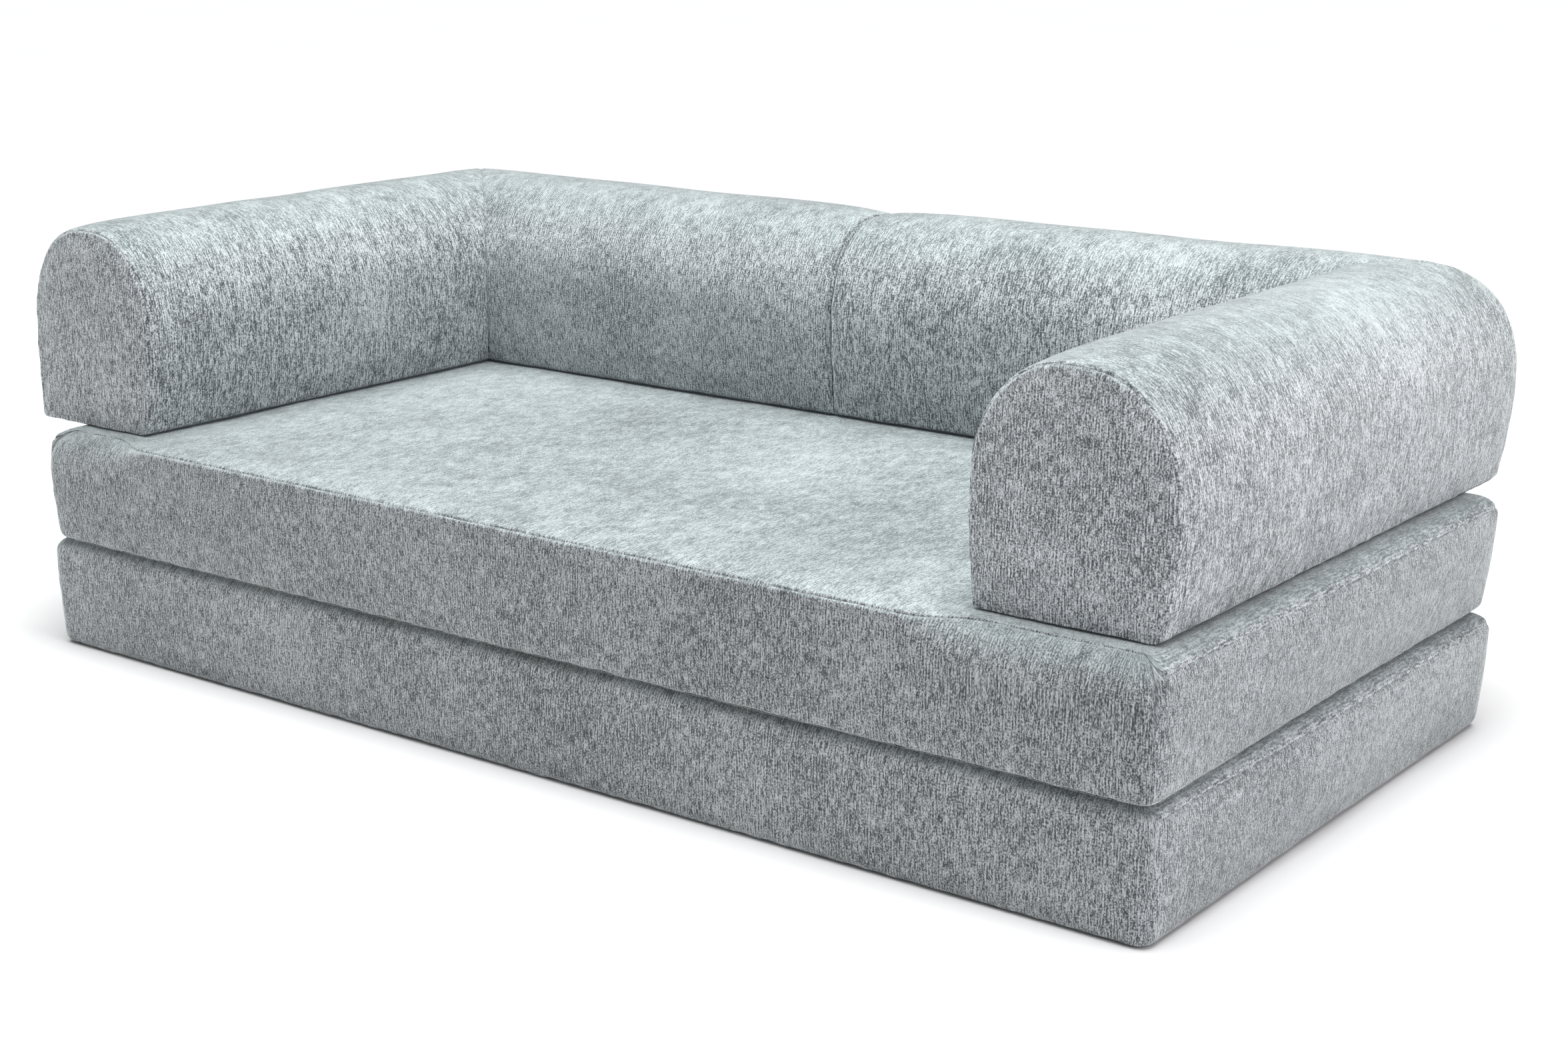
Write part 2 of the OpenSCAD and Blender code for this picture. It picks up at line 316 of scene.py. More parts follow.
class Edge:
    """How a mattress edge rolls over: its radius, and the angle above the side at which the
    seam lies. Each is given for the middle of the front, the front's ends, and the rest."""

    def __init__(self, middle, front, side):
        self.middle, self.front, self.side = middle, front, side

    def at(self, outward, x):
        middle = (LEFT_ARM[1].x + RIGHT_ARM[0].x) / 2
        free_half = (RIGHT_ARM[0].x - LEFT_ARM[1].x) / 2
        ends = smooth_step((np.abs(x - middle) - free_half + SOFT_BEFORE) / SOFT_BLEND)
        facing = smooth_step((-outward[..., 1] - 0.25) / 0.6)
        out = []
        for k in (0, 1):
            along_front = self.middle[k] + (self.front[k] - self.middle[k]) * ends
            out.append(self.side[k] + (along_front - self.side[k]) * facing)
        return out


def block_map(p, half, low_edge, high_edge, z0, z1, lean):
    """Maps points of a sharp box's surface to a block with rounded corners and edges, whose
    sides lean out by lean(share of the height)."""
    core = np.clip(p[..., :2], -(half - ZONE), half - ZONE)
    e = p[..., :2] - core
    big = np.abs(e).max(-1)
    square = e / np.maximum(big, 1e-12)[..., None] * ZONE
    bend = np.clip(square, -(ZONE - PLAN_R), ZONE - PLAN_R)
    outward = square - bend
    outward /= np.maximum(np.linalg.norm(outward, axis=-1), 1e-12)[..., None]
    rim = bend + outward * PLAN_R
    inset = ZONE - big
    z = p[..., 2]
    flat = (z >= z1 - 1e-9) | (z <= z0 + 1e-9)
    upper = z > (z0 + z1) / 2
    high_r, high_turn = high_edge.at(outward, p[..., 0])
    low_r, low_turn = low_edge.at(outward, p[..., 0])
    r = np.where(upper, high_r, low_r)
    turn = np.where(upper, high_turn, low_turn)
    depth = np.minimum(z - z0, z1 - z)
    rolled = r * turn
    middle = (z1 - z0) / 2
    over = np.clip(inset / r, 0, 1)
    angle = np.where(flat, turn + (np.pi / 2 - turn) * over,
                     turn * (1 - np.clip(depth / rolled, 0, 1)))
    shift = np.where(flat & (inset > r), inset, r - r * np.cos(angle))
    below = r + (depth - rolled) * (middle - r) / (middle - rolled)
    drop = np.where(flat | (depth < rolled), r - r * np.sin(angle), below)
    plan = core + rim * (1 - shift / ZONE)[..., None] * (big > 0)[..., None]
    height = np.where(upper, z1 - drop, z0 + drop)
    to_front = smooth_step((0.2 * half[1] - plan[..., 1]) / (1.2 * half[1]))
    share = 1 - (1 - CORNER_LEAN) * to_front * (plan[..., 0] > 0)
    plan[..., 0] *= 1 + lean((height - z0) / (z1 - z0)) * share / half[0]
    return np.concatenate([plan, height[..., None]], -1)


def mattress(name, z0, z1, edges, lean, top_limit, is_lined, corner_seam, border_painted_light):
    """A mattress cover from z0 to z1: two big panels and a border of four sides. corner_seam
    is how far off the border's corners look from a seam: the further, the fainter."""
    half = np.array([BED_X, BED_Y])
    xs = stations(2 * BED_X, CELL, EDGE_FINE) - BED_X
    ys = stations(2 * BED_Y, CELL, EDGE_FINE) - BED_Y
    middle = (z0 + z1) / 2
    below = stations(z1 - z0, CELL, EDGE_FINE) + z0
    below = below[below < middle - ZIP_BAND[-1] - ZIP_CLEAR]
    lower = np.concatenate([below, middle - np.array(ZIP_BAND)[::-1]])
    zs = np.concatenate([lower, [middle], (z0 + z1) - lower[::-1]])
    cover = Cover()

    def panel(a, b, put, limit, offset, flip, hide, material=0, nap=1.0):
        u, v = np.meshgrid(a, b, indexing="ij")
        sides = np.minimum(u - a[0], a[-1] - u) + hide
        edge = np.minimum(sides, np.minimum(v - b[0], b[-1] - v)) + SEAM_SOFT
        points = block_map(put(u, v), half, *edges, z0, z1, lean)
        may = limit(u, v) * smooth_step((edge - SEAM_SOFT) / SEAM_FADE)
        cover.add(points, stack(u, v), edge, may, offset, flip, material, nap)

    nothing = lambda u, v: 0 * u
    panel(xs, ys, lambda u, v: stack(u, v, z1 + 0 * u), top_limit or nothing, 0.1, False, 0)
    panel(xs, ys, lambda u, v: stack(u, v, z0 + 0 * u), nothing, 0.2, True, 0, is_lined)

    def swell(puffing):
        return lambda u, v: puffing * (1 - ((v - middle) / (z1 - z0) * 2) ** 4) + 0 * u

    # The border panels take the border's painted light and shade
    for side, offset in ((-1, 0.3), (1, 0.4)):
        panel(xs, zs, lambda u, v: stack(u, side * BED_Y + 0 * u, v),
              swell(FRONT_PUFF), offset, side > 0, corner_seam, nap=border_painted_light)
        panel(ys, zs, lambda u, v: stack(side * BED_X + 0 * u, u, v),
              swell(SIDE_PUFF), offset + 0.2, side < 0, corner_seam, nap=border_painted_light)
    return cover.build(name)


def seat_limit(u, v):
    """The seat's top crowns only where no bolster stands on it."""
    left = (u - LEFT_ARM[1].x) / CROWN_FADE
    right = (RIGHT_ARM[0].x - u) / CROWN_FADE
    back = (REAR_Y - BOLSTER_T - v) / CROWN_FADE
    return SEAT_PUFF * smooth_step(left) * smooth_step(right) * smooth_step(back)


def flat_stop(piece, low, high):
    """Nothing passes the planes that a block rests on or carries."""
    points = read_points(piece)
    if low is not None:
        points[:, 2] = np.maximum(points[:, 2], low)
    if high is not None:
        points[:, 2] = np.minimum(points[:, 2], high)
    write_points(piece, points)


def front_stop(piece):
    """The two fronts face each other when the bed is unfolded, so neither passes the hinge."""
    points = read_points(piece)
    past = np.maximum(-BED_Y - points[:, 1], 0)
    points[:, 1] += past - FRONT_REACH * np.tanh(past / FRONT_REACH)
    write_points(piece, points)


# The flat bed round a zip: how far past its ends and from its middle line it reaches, and the
# bands over which it fades
BED_PAST = 0.06
BED_HALF = 0.085
BED_FADE_END = 0.045
BED_FADE_SIDE = 0.040
# The groove along a zip: depth, half width at the foot of its wall, the wall, and its ends
GROOVE_DEPTH = 0.0034
GROOVE_HALF = 0.0072
GROOVE_WALL = 0.0030
GROOVE_END = 0.006
FACE_DEPTH = 0.03


def zip_bed(piece, centre, plane_y, half_length, middle_z):
    """Holds a rear face down round its zip, so that the slider and puller swing clear."""
    points = read_points(piece)
    along = half_length + BED_PAST - np.abs(points[:, 0] - centre)
    across = BED_HALF - np.abs(points[:, 2] - middle_z)
    over = np.maximum(points[:, 1] - plane_y, 0)
    points[:, 1] -= over * smooth_step(along / BED_FADE_END) * smooth_step(across / BED_FADE_SIDE)
    write_points(piece, points)


def zip_groove(piece, centre, plane_y, half_length, middle_z):
    """Parts the fabric along a zip on a rear face, so that the tape and teeth show."""
    points = read_points(piece)
    along = half_length - np.abs(points[:, 0] - centre)
    across = np.abs(points[:, 2] - middle_z)
    behind = points[:, 1] > plane_y - FACE_DEPTH
    share = smooth_step(along / GROOVE_END) * smooth_step((GROOVE_HALF - across) / GROOVE_WALL)
    points[:, 1] -= (points[:, 1] - (plane_y - GROOVE_DEPTH)) * share * behind
    write_points(piece, points)


LUMP_SIZE = 0.42
LUMP_HEIGHT = 0.0014
LUMP_FADE = 0.05


def uneven(piece, seed, share):
    """Slow unevenness of hand-filled foam. share(points) is how much of it each point gets."""
    points, normals = read_points(piece), read_normals(piece)
    seam = read_value(piece, "seam")
    lump = LUMP_HEIGHT * waves(points, LUMP_SIZE, seed) * share(points)
    write_points(piece, points + normals * (lump * smooth_step(seam / LUMP_FADE))[:, None])


# ---- Bolster covers ----

# The D section: half widths at the foot and at the widest, before the puff, the share of the
# height where it is widest, how full its dome is, and the radius along its foot
FOOT_HALF = 0.1305
WIDE_HALF = BOLSTER_T / 2 + 0.0035
WIDE_AT = 0.46
DOME_POWER = 2.35
FOOT_R = 0.010
# The furthest that the sides and the front cap puff out, what the crest gains, and how far
# from an edge they get there
BOLSTER_PUFF = 0.0040
CAP_PUFF = 0.0060
CREST_PUFF = 0.0012
END_FADE = 0.05
CAP_FADE = 0.06
# The roll round an end: its radius, the share of it that is left at the foot, and the height
# over which it grows from there
CAP_R = 0.010
CAP_FOOT_SHARE = 0.35
CAP_FOOT_RISE = 0.05
# The front cap leans: its foot stands this much forward, over this length and height
FOOT_KICK = 0.007
KICK_LONG = 0.08
KICK_HIGH = 0.18
# Painted light and shade: how light the colour is made on the legs, and on the right and left
# caps, fitted to how each is lit
BOLSTER_PAINTED_LIGHT = 1.12
CAP_PAINTED_LIGHT = {1: 1.18, -1: 1.08}
# The crest drops towards an end: by how much, over what length, and from what height up
TAPER = 0.0080
TAPER_LONG = 0.045
TAPER_FROM = 0.17
# The mitre: radii at the outer and inner corner, and the length over which rows fan in to it
MITRE_OUTER_R = 0.030
MITRE_INNER_R = 0.003
FAN_RUN = 0.05
# Where mesh lines go: down a leg from its end, round the section from its foot, and under it
LEG_CUTS = (0.006, 0.014, 0.024, 0.038)
SIDE_CUTS = (0.0, 0.004, 0.009, 0.016, 0.027)
FOOT_CUTS = (0.0, 0.003, 0.007, 0.013, 0.022)
UNDER_CELL = 0.019
SHOULDER = 0.74
# A cap's flat ring inside its roll, and how far from the seam each of its loops is
CAP_RING = 0.008
CAP_AWAY = (0.0, 0.0025, 0.005, 0.0075, 0.0105, 0.018)
ZIP_UP = (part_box("right_zip")[0].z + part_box("right_zip")[1].z) / 2 - BOLSTER_Z


def d_outline(height):
    """The D section as a dense line (across from the middle, up), from 45 degrees of its
    outer foot over the dome to the inner foot and back under it."""
    rise = WIDE_AT * height
    dome = height - rise
    turn = np.radians(np.linspace(-45, 0, 12))
    foot = stack(FOOT_HALF - FOOT_R + FOOT_R * np.cos(turn), FOOT_R + FOOT_R * np.sin(turn))
    up = np.linspace(0, 1, 40)[1:]
    side = stack(FOOT_HALF + (WIDE_HALF - FOOT_HALF) * np.sin(up * np.pi / 2),
                 FOOT_R + (rise - FOOT_R) * up)
    sweep = np.linspace(0, np.pi / 2, 160)[1:]
    power = 2 / DOME_POWER
    top = stack(WIDE_HALF * np.cos(sweep) ** power, rise + dome * np.sin(sweep) ** power)
    right = np.concatenate([foot, side, top])
    left = right[::-1] * (-1, 1)
    under = right[0]
    bottom_turn = np.radians(np.linspace(-135, -90, 12))[1:]
    corner = stack(-FOOT_HALF + FOOT_R + FOOT_R * np.cos(bottom_turn),
                   FOOT_R + FOOT_R * np.sin(bottom_turn))
    flat = stack(np.linspace(corner[-1][0], -corner[-1][0], 60)[1:-1], 0.0)
    back = corner[::-1] * (-1, 1)
    return np.concatenate([right, left[1:], corner, flat, back, [under]])


def cut_line(line, marks):
    """Points on a line at the given lengths along it, with the line's normal to its right."""
    step = np.linalg.norm(np.diff(line, axis=0), axis=1)
    along = np.concatenate([[0.0], np.cumsum(step)])
    points = stack(np.interp(marks, along, line[:, 0]), np.interp(marks, along, line[:, 1]))
    ahead = stack(np.interp(marks + 1e-3, along, line[:, 0], period=along[-1]),
                  np.interp(marks + 1e-3, along, line[:, 1], period=along[-1]))
    behind = stack(np.interp(marks - 1e-3, along, line[:, 0], period=along[-1]),
                   np.interp(marks - 1e-3, along, line[:, 1], period=along[-1]))
    tangent = ahead - behind
    tangent /= np.linalg.norm(tangent, axis=1)[:, None]
    return points, stack(tangent[:, 1], -tangent[:, 0])


class Profile:
    """The D section cut where the mesh's lines run, with what each point needs."""

    def __init__(self, height):
        line = d_outline(height)
        along = np.concatenate([[0.0], np.cumsum(np.linalg.norm(np.diff(line, axis=0), axis=1))])
        whole = along[-1]
        peak = along[np.argmax(line[:, 1])]
        under = whole - 2 * peak
        lifted = np.interp(ZIP_UP, line[:60, 1], along[:60])
        band = lifted + np.concatenate([-np.array(ZIP_BAND)[::-1], [0.0], ZIP_BAND])
        shoulder = peak * SHOULDER
        side = np.concatenate([SIDE_CUTS, band, np.linspace(band[-1], shoulder, 13)[1:]])
        inner = stations(under, UNDER_CELL, np.diff(FOOT_CUTS))
        over = np.linspace(shoulder, 2 * peak - shoulder, len(inner))
        marks = np.concatenate([side, over[1:], (2 * peak - side[::-1])[1:],
                                2 * peak + inner[1:]])
        self.side_count = len(side) - 1
        self.top_count = len(inner) - 1
        self.upper = 2 * self.side_count + self.top_count
        self.along = marks
        self.points, self.normals = cut_line(line, marks)
        self.points[-1], self.normals[-1] = self.points[0], self.normals[0]
        from_foot = np.minimum(np.abs(marks), np.abs(marks - 2 * peak))
        self.foot_seam = np.minimum(from_foot, np.abs(marks - whole))
        self.crest = smooth_step((self.points[:, 1] - TAPER_FROM) / (height - TAPER_FROM))
        lifted = smooth_step(self.points[:, 1] / CAP_FOOT_RISE)
        self.roll = CAP_FOOT_SHARE + (1 - CAP_FOOT_SHARE) * lifted
        rise = smooth_step(from_foot / END_FADE) * (marks < 2 * peak)
        self.limit = BOLSTER_PUFF * rise


def bolster(name, side, corner_x, centre_plane):
    """An L-shaped bolster cover. side is 1 for the right one and -1 for the left one, whose
    outer rear corner is at corner_x. The back part ends at the plane between the two."""
    shape = Profile(BOLSTER_H - CREST_PUFF)
    t = BOLSTER_T
    back_leg = abs(centre_plane - corner_x)
    a0 = t / 2 - shape.points[:, 0]
    lift = shape.points[:, 1]
    grow = shape.normals

    def turn_radius(a):
        share = np.clip((t - a) / t, 0, 1)
        return MITRE_INNER_R + (MITRE_OUTER_R - MITRE_INNER_R) * share ** 1.5

    # Rows along a leg, from its end to the mitre: (inset of the section, distance from the
    # end) at the rounded end, then straight rows, then rows that fan in to the mitre
    round_end = np.radians([45, 33, 22, 11, 0])
    end_rows = [(CAP_R - CAP_R * math.cos(x), CAP_R - CAP_R * math.sin(x)) for x in round_end]
    fan_start = t + FAN_RUN

    def leg_rows(leg):
        first = CAP_R + np.array(LEG_CUTS)
        count = round((leg - fan_start - first[-1]) / CELL)
        even = np.linspace(first[-1], leg - fan_start, count + 1)[1:]
        return end_rows + [(0.0, d) for d in np.concatenate([first, even])]

    fan = np.linspace(0, 1, 13)[1:] ** 0.9
    arc = np.linspace(0, 1, 6)[1:]

    def half(leg):
        """Each row of one leg, seen as an arm: across, along, up, and how far it is from
        the seam at the leg's end and from the end."""
        rows = []
        for inset, d in leg_rows(leg):
            extra = TAPER * math.exp(-max(d - CAP_R, 0.0) / TAPER_LONG)
            p = shape.points - grow * (inset * shape.roll + extra * shape.crest)[:, None]
            a = t / 2 - p[:, 0]
            rows.append((a, leg - d + 0 * a, p[:, 1], abs(d) + 0 * a, d))
        r = turn_radius(a0)
        for share in fan:
            y = fan_start + (a0 + r - fan_start) * share
            rows.append((a0, y, lift, y + 9, fan_start))
        for share in arc:
            angle = share * np.pi / 4
            x = a0 + r - r * np.cos(angle)
            y = a0 + r - r * np.sin(angle)
            rows.append((x, y, lift, y + 9, fan_start))
        return rows

    def place(a, y, z, is_back):
        if is_back:
            a, y = y, a
        else:
            near_end = smooth_step((y - LEG) / KICK_LONG + 1)
            y = y + FOOT_KICK * near_end * smooth_step(1 - z / KICK_HIGH)
        return stack(corner_x - side * a, REAR_Y - y, BOLSTER_Z + z)

    cover = Cover()
    ends = {}
    for is_back, leg in ((False, LEG), (True, back_leg)):
        rows = half(leg)
        points = np.array([place(a, y, z, is_back) for a, y, z, _, _ in rows])
        down_leg = np.array([y for _, y, _, _, _ in rows])
        from_end = np.array([row[3] for row in rows])
        offset_in = np.array([np.abs(row[0] - row[1]) for row in rows]) / math.sqrt(2)
        seam = np.minimum(np.minimum(from_end, offset_in), shape.foot_seam[None, :])
        near_end = smooth_step(np.array([row[4] for row in rows]) / END_FADE)[:, None]
        limit = shape.limit[None, :] * near_end
        weave = stack(down_leg, shape.along[None, :] + 0 * down_leg)
        under = stack(points[..., 0], points[..., 1])
        flip = (side > 0) == is_back
        offset = 0.5 + 0.1 * is_back + 0.03 * side
        top, low = slice(0, shape.upper + 1), slice(shape.upper, None)
        # The legs take the bolsters' painted light and shade
        cover.add(points[:, top], weave[:, top], seam[:, top], limit[:, top], offset, flip,
                  nap=BOLSTER_PAINTED_LIGHT)
        cover.add(points[:, low], under[:, low], seam[:, low], 0 * limit[:, low], 0.9, flip, 1)
        ends[is_back] = (rows[0], leg)

    for is_back, (first, leg) in ends.items():
        cap_limit = 0.0 if is_back else CAP_PUFF
        add_cap(cover, shape, place, leg, is_back, flip=(side > 0) != is_back,
                offset=0.7 + 0.1 * is_back + 0.03 * side, cap_limit=cap_limit,
                nap=CAP_PAINTED_LIGHT[side])
    return cover.build(name)


def add_cap(cover, shape, place, leg, is_back, flip, offset, cap_limit, nap):
    """The D-shaped end panel: loops round its rolled rim, then a patch that fills the rest,
    a blend of its four sides."""
    t = BOLSTER_T

    def loop(inset):
        p = shape.points - shape.normals * (inset * shape.roll + TAPER * shape.crest)[:, None]
        return stack(t / 2 - p[:, 0], p[:, 1])

    rows, depths = [], []
    # The seam is at 45 degrees of the roll: the legs' rows end there and the cap's begin
    for angle in np.radians([45, 57, 68, 79, 90]):
        rows.append(loop(CAP_R - CAP_R * math.cos(angle)))
        depths.append(CAP_R - CAP_R * math.sin(angle))
    rows.append(loop(CAP_R + CAP_RING))
    depths.append(0.0)
    away = np.array(CAP_AWAY)
    rows = np.array(rows)
    points = np.array([place(row[:, 0], leg - d + 0 * row[:, 0], row[:, 1], is_back)
                       for row, d in zip(rows, depths)])
    seam = away[:, None] + 0 * rows[..., 0]
    limit = cap_limit * smooth_step(seam / CAP_FADE)
    cover.add(points, rows, seam, limit, offset, flip, nap=nap)

    edge = rows[-1]
    s, n = shape.side_count, shape.top_count
    outer, top = edge[:s + 1], edge[s:s + n + 1]
    inner, bottom = edge[s + n:s + n + s + 1][::-1], edge[2 * s + n:][::-1]
    u = np.linspace(0, 1, n + 1)[:, None, None]
    v = np.linspace(0, 1, s + 1)[None, :, None]
    across = (1 - v) * bottom[:, None] + v * top[:, None]
    up = (1 - u) * outer[None] + u * inner[None]
    corners = ((1 - u) * (1 - v) * bottom[0] + u * (1 - v) * bottom[-1]
               + (1 - u) * v * top[0] + u * v * top[-1])
    patch = across + up - corners
    low = np.minimum(patch[..., 0].clip(0, None), (t - patch[..., 0]).clip(0, None))
    inside = np.minimum(low, np.minimum(patch[..., 1], BOLSTER_H - patch[..., 1]))
    inside = np.maximum(inside, CAP_AWAY[-1])
    points = place(patch[..., 0], leg + 0 * patch[..., 0], patch[..., 1], is_back)
    limit = cap_limit * smooth_step(inside / CAP_FADE)
    cover.add(points, patch, inside, limit, offset, flip, nap=nap)


# ---- Hinge strip ----

STRIP_THICK = 0.0008
# Painted shade: it lies in deep shade between the mattresses, so its colour is made dark
STRIP_PAINTED_SHADE = 0.40
# How far behind its CAD box it is sewn, how far its fold stays behind the front, the radius
# of that fold, and its slow waviness
STRIP_SEWN = 0.007
STRIP_BACK = 0.002
STRIP_BEND = 0.0017
STRIP_SAG = 0.0006
STRIP_WAVE = 0.12


def hinge_strip():
    """The strip of fabric that joins the two mattresses: a V that lies between their front
    edges at rest, with its upper edge sewn to the seat and its lower edge to the base."""
    low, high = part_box("hinge_strip")
    middle = (BASE_TOP + SEAT_BOTTOM) / 2
    root, tip, bend = high.y + STRIP_SEWN, low.y + STRIP_BACK, STRIP_BEND
    turn = np.radians(np.linspace(90, -90, 9))
    wing = np.linspace(0, 1, 8)[:-1]
    gap = STRIP_THICK * 0.6
    upper = stack(root + (tip + bend - root) * wing, gap + (bend - gap) * wing ** 2)
    nose = stack(tip + bend - bend * np.cos(turn), bend * np.sin(turn))
    line = np.concatenate([upper, nose, upper[::-1] * (1, -1)])
    ahead = np.gradient(line, axis=0)
    ahead /= np.linalg.norm(ahead, axis=1)[:, None]
    normal = stack(ahead[:, 1], -ahead[:, 0]) * STRIP_THICK / 2
    ring = np.concatenate([line + normal, (line - normal)[::-1]])
    xs = np.linspace(low.x, high.x, 192)
    n, m = len(xs), len(ring)
    sag = STRIP_SAG * waves(stack(xs, 0 * xs, 0 * xs), STRIP_WAVE, SEED + 40)
    grid = np.zeros((n, m + 1, 3))
    closed = np.concatenate([ring, ring[:1]])
    grid[..., 0] = xs[:, None]
    loose = smooth_step((root - closed[None, :, 0]) / 0.01)
    grid[..., 1] = closed[None, :, 0] + sag[:, None] * loose
    grid[..., 2] = closed[None, :, 1] + middle
    along = np.concatenate([[0], np.cumsum(np.linalg.norm(np.diff(closed, axis=0), axis=1))])
    cover = Cover()
    u, v = np.meshgrid(xs, along, indexing="ij")
    far = 0.05 + 0 * u
    cover.add(grid, stack(v, u), far, 0 * u, 0.95, True, nap=STRIP_PAINTED_SHADE)
    for end, flip in ((0, True), (-1, False)):
        side_a, side_b = grid[end, :m // 2], grid[end, m // 2:m][::-1]
        patch = stack(side_a, side_b).transpose(2, 0, 1)
        cover.add(patch, patch[..., 1:], far[:2, :m // 2], 0 * far[:2, :m // 2], 0.96, not flip)
    return cover.build("hinge_strip_cloth")


# ---- Zip teeth ----

# Bare tape at each end of a zip, and from there to its first tooth and to its stop
TAPE_END = 0.012
TOOTH_START = 0.003
STOP_GAP = 0.0025
# Teeth, in two rows: pitch, half width along the zip, row spacing and half height, and how
# far they reach above and below the chain's face
TOOTH_PITCH = 0.0024
TOOTH_HALF_X = 0.00075
TOOTH_ROW = 0.0013
TOOTH_HALF_Z = 0.0016
TOOTH_ABOVE = 0.0003
TOOTH_BELOW = 0.0006
TOOTH_BEVEL = 0.0003
# End stops: half width and half height
STOP_HALF_X = 0.0012
STOP_HALF_Z = 0.0029


def zip_teeth(name, node):
    """Two interlocked rows of moulded teeth over the zip's chain, and a stop at each end."""
    low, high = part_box(node)
    start, stop = low.x + TAPE_END + TOOTH_START, high.x - TAPE_END - TOOTH_START
    middle = (low.z + high.z) / 2
    top, foot = high.y + TOOTH_ABOVE, high.y - TOOTH_BELOW
    count = int((stop - start) / TOOTH_PITCH)
    blocks = []
    for row in (-1, 1):
        x = start + TOOTH_PITCH * (np.arange(count) + (0.5 if row > 0 else 0.0))
        for position in x:
            blocks.append((position, TOOTH_HALF_X, middle + row * TOOTH_ROW, TOOTH_HALF_Z))
    for end in (start - STOP_GAP, stop + STOP_GAP):
        blocks.append((end, STOP_HALF_X, middle, STOP_HALF_Z))
    points, faces = [], []
    for x, half_x, z, half_z in blocks:
        k = len(points)
        for y, shrink in ((foot, 1.0), (top - TOOTH_BEVEL, 1.0), (top, 0.6)):
            for sx, sz in ((-1, -1), (1, -1), (1, 1), (-1, 1)):
                points.append((x + sx * half_x * shrink, y, z + sz * half_z * shrink))
        for ring in (0, 4):
            for i in range(4):
                j = (i + 1) % 4
                faces.append((k + ring + i, k + ring + 4 + i, k + ring + 4 + j, k + ring + j))
        faces.append((k + 8, k + 11, k + 10, k + 9))
        faces.append((k, k + 1, k + 2, k + 3))
    mesh = bpy.data.meshes.new(name)
    mesh.from_pydata(points, [], faces)
    mesh.update()
    return link(name, mesh)


# ---- Materials ----

class Paint:
    """A node material. Sockets are passed on as links, and numbers and colours as values."""

    def __init__(self, name, **shader):
        self.material = bpy.data.materials.new(name)
        self.material.use_nodes = True
        self.tree = self.material.node_tree
        self.shader = self.tree.nodes["Principled BSDF"]
        for label, value in shader.items():
            socket = label.replace("_", " ").title().replace("Ior", "IOR")
            self.set(self.shader.inputs[socket], value)

    def set(self, socket, value):
        if isinstance(value, bpy.types.NodeSocket):
            self.tree.links.new(value, socket)
        else:
            socket.default_value = value

    def node(self, kind, inputs, output=0, **settings):
        node = self.tree.nodes.new(kind)
        for label, value in settings.items():
            setattr(node, label, value)
        for label, value in inputs.items():
            self.set(node.inputs[label], value)
        return node.outputs[output]

    def math(self, operation, *values):
        return self.node("ShaderNodeMath", dict(enumerate(values)), operation=operation)

    def sum(self, *terms):
        """The sum of (socket, weight) pairs and plain numbers."""
        total = sum(term for term in terms if not isinstance(term, tuple))
        for socket, weight in (term for term in terms if isinstance(term, tuple)):
            total = self.math("MULTIPLY_ADD", socket, weight, total)
        return total

    def attribute(self, name, output):
        return self.node("ShaderNodeAttribute", {}, output, attribute_name=name)

    def split(self, vector):
        node = self.tree.nodes.new("ShaderNodeSeparateXYZ")
        self.set(node.inputs[0], vector)
        return list(node.outputs)

    def vector(self, x, y, z):
        return self.node("ShaderNodeCombineXYZ", {0: x, 1: y, 2: z})

    def noise(self, vector, scale=1.0, detail=2.0, rough=0.5):
        inputs = {"Vector": vector, "Scale": scale, "Detail": detail, "Roughness": rough}
        return self.node("ShaderNodeTexNoise", inputs)

    def ramp(self, value, low, high, to_low=0.0, to_high=1.0):
        inputs = {"Value": value, "From Min": low, "From Max": high,
                  "To Min": to_low, "To Max": to_high}
        return self.node("ShaderNodeMapRange", inputs, interpolation_type="SMOOTHSTEP")

    def mix(self, share, a, b):
        return self.node("ShaderNodeMix", {0: share, 6: a, 7: b}, 2, data_type="RGBA")

    def bump(self, height, distance, strength=1.0):
        inputs = {"Height": height, "Distance": distance, "Strength": strength}
        self.set(self.shader.inputs["Normal"], self.node("ShaderNodeBump", inputs))

    def colour(self, value):
        self.set(self.shader.inputs["Base Color"], value)


def linear(red, green, blue):
    """A colour from its 0 to 255 screen values."""
    def one(value):
        value /= 255
        return value / 12.92 if value <= 0.04045 else ((value + 0.055) / 1.055) ** 2.4
    return one(red), one(green), one(blue), 1.0


# Painted light and sheen on faces that look up: the light factor their colour takes and its
# greenish tint, where that starts and is full (as the normal's upward part), and the share of
# flattened pattern in it; the tint and the flattening stand in for the sheen at a grazing view
TOP_PAINTED_LIGHT = 0.955
TOP_PAINTED_SHEEN_TINT = (0.94, 1.0, 0.98, 1.0)
TOP_FROM = 0.25
TOP_FULL = 0.95
TOP_PAINTED_SHEEN = 0.36
# The cloth, and the wobble of the painted seam shade, in metres across and along its warp
TUFT = (0.0021, 0.0025)
SLUB = (0.0022, 0.0130)
DRIFT = (0.02, 0.05)
PATCH = (0.022, 0.034)
CLOUD = (0.26, 0.30)
SEAM_SHADE_WOBBLE = (0.004, 0.004)
RIB_PITCH = 0.0044
PANEL_STEP = 37.0
PILE_HEIGHT = 0.0014


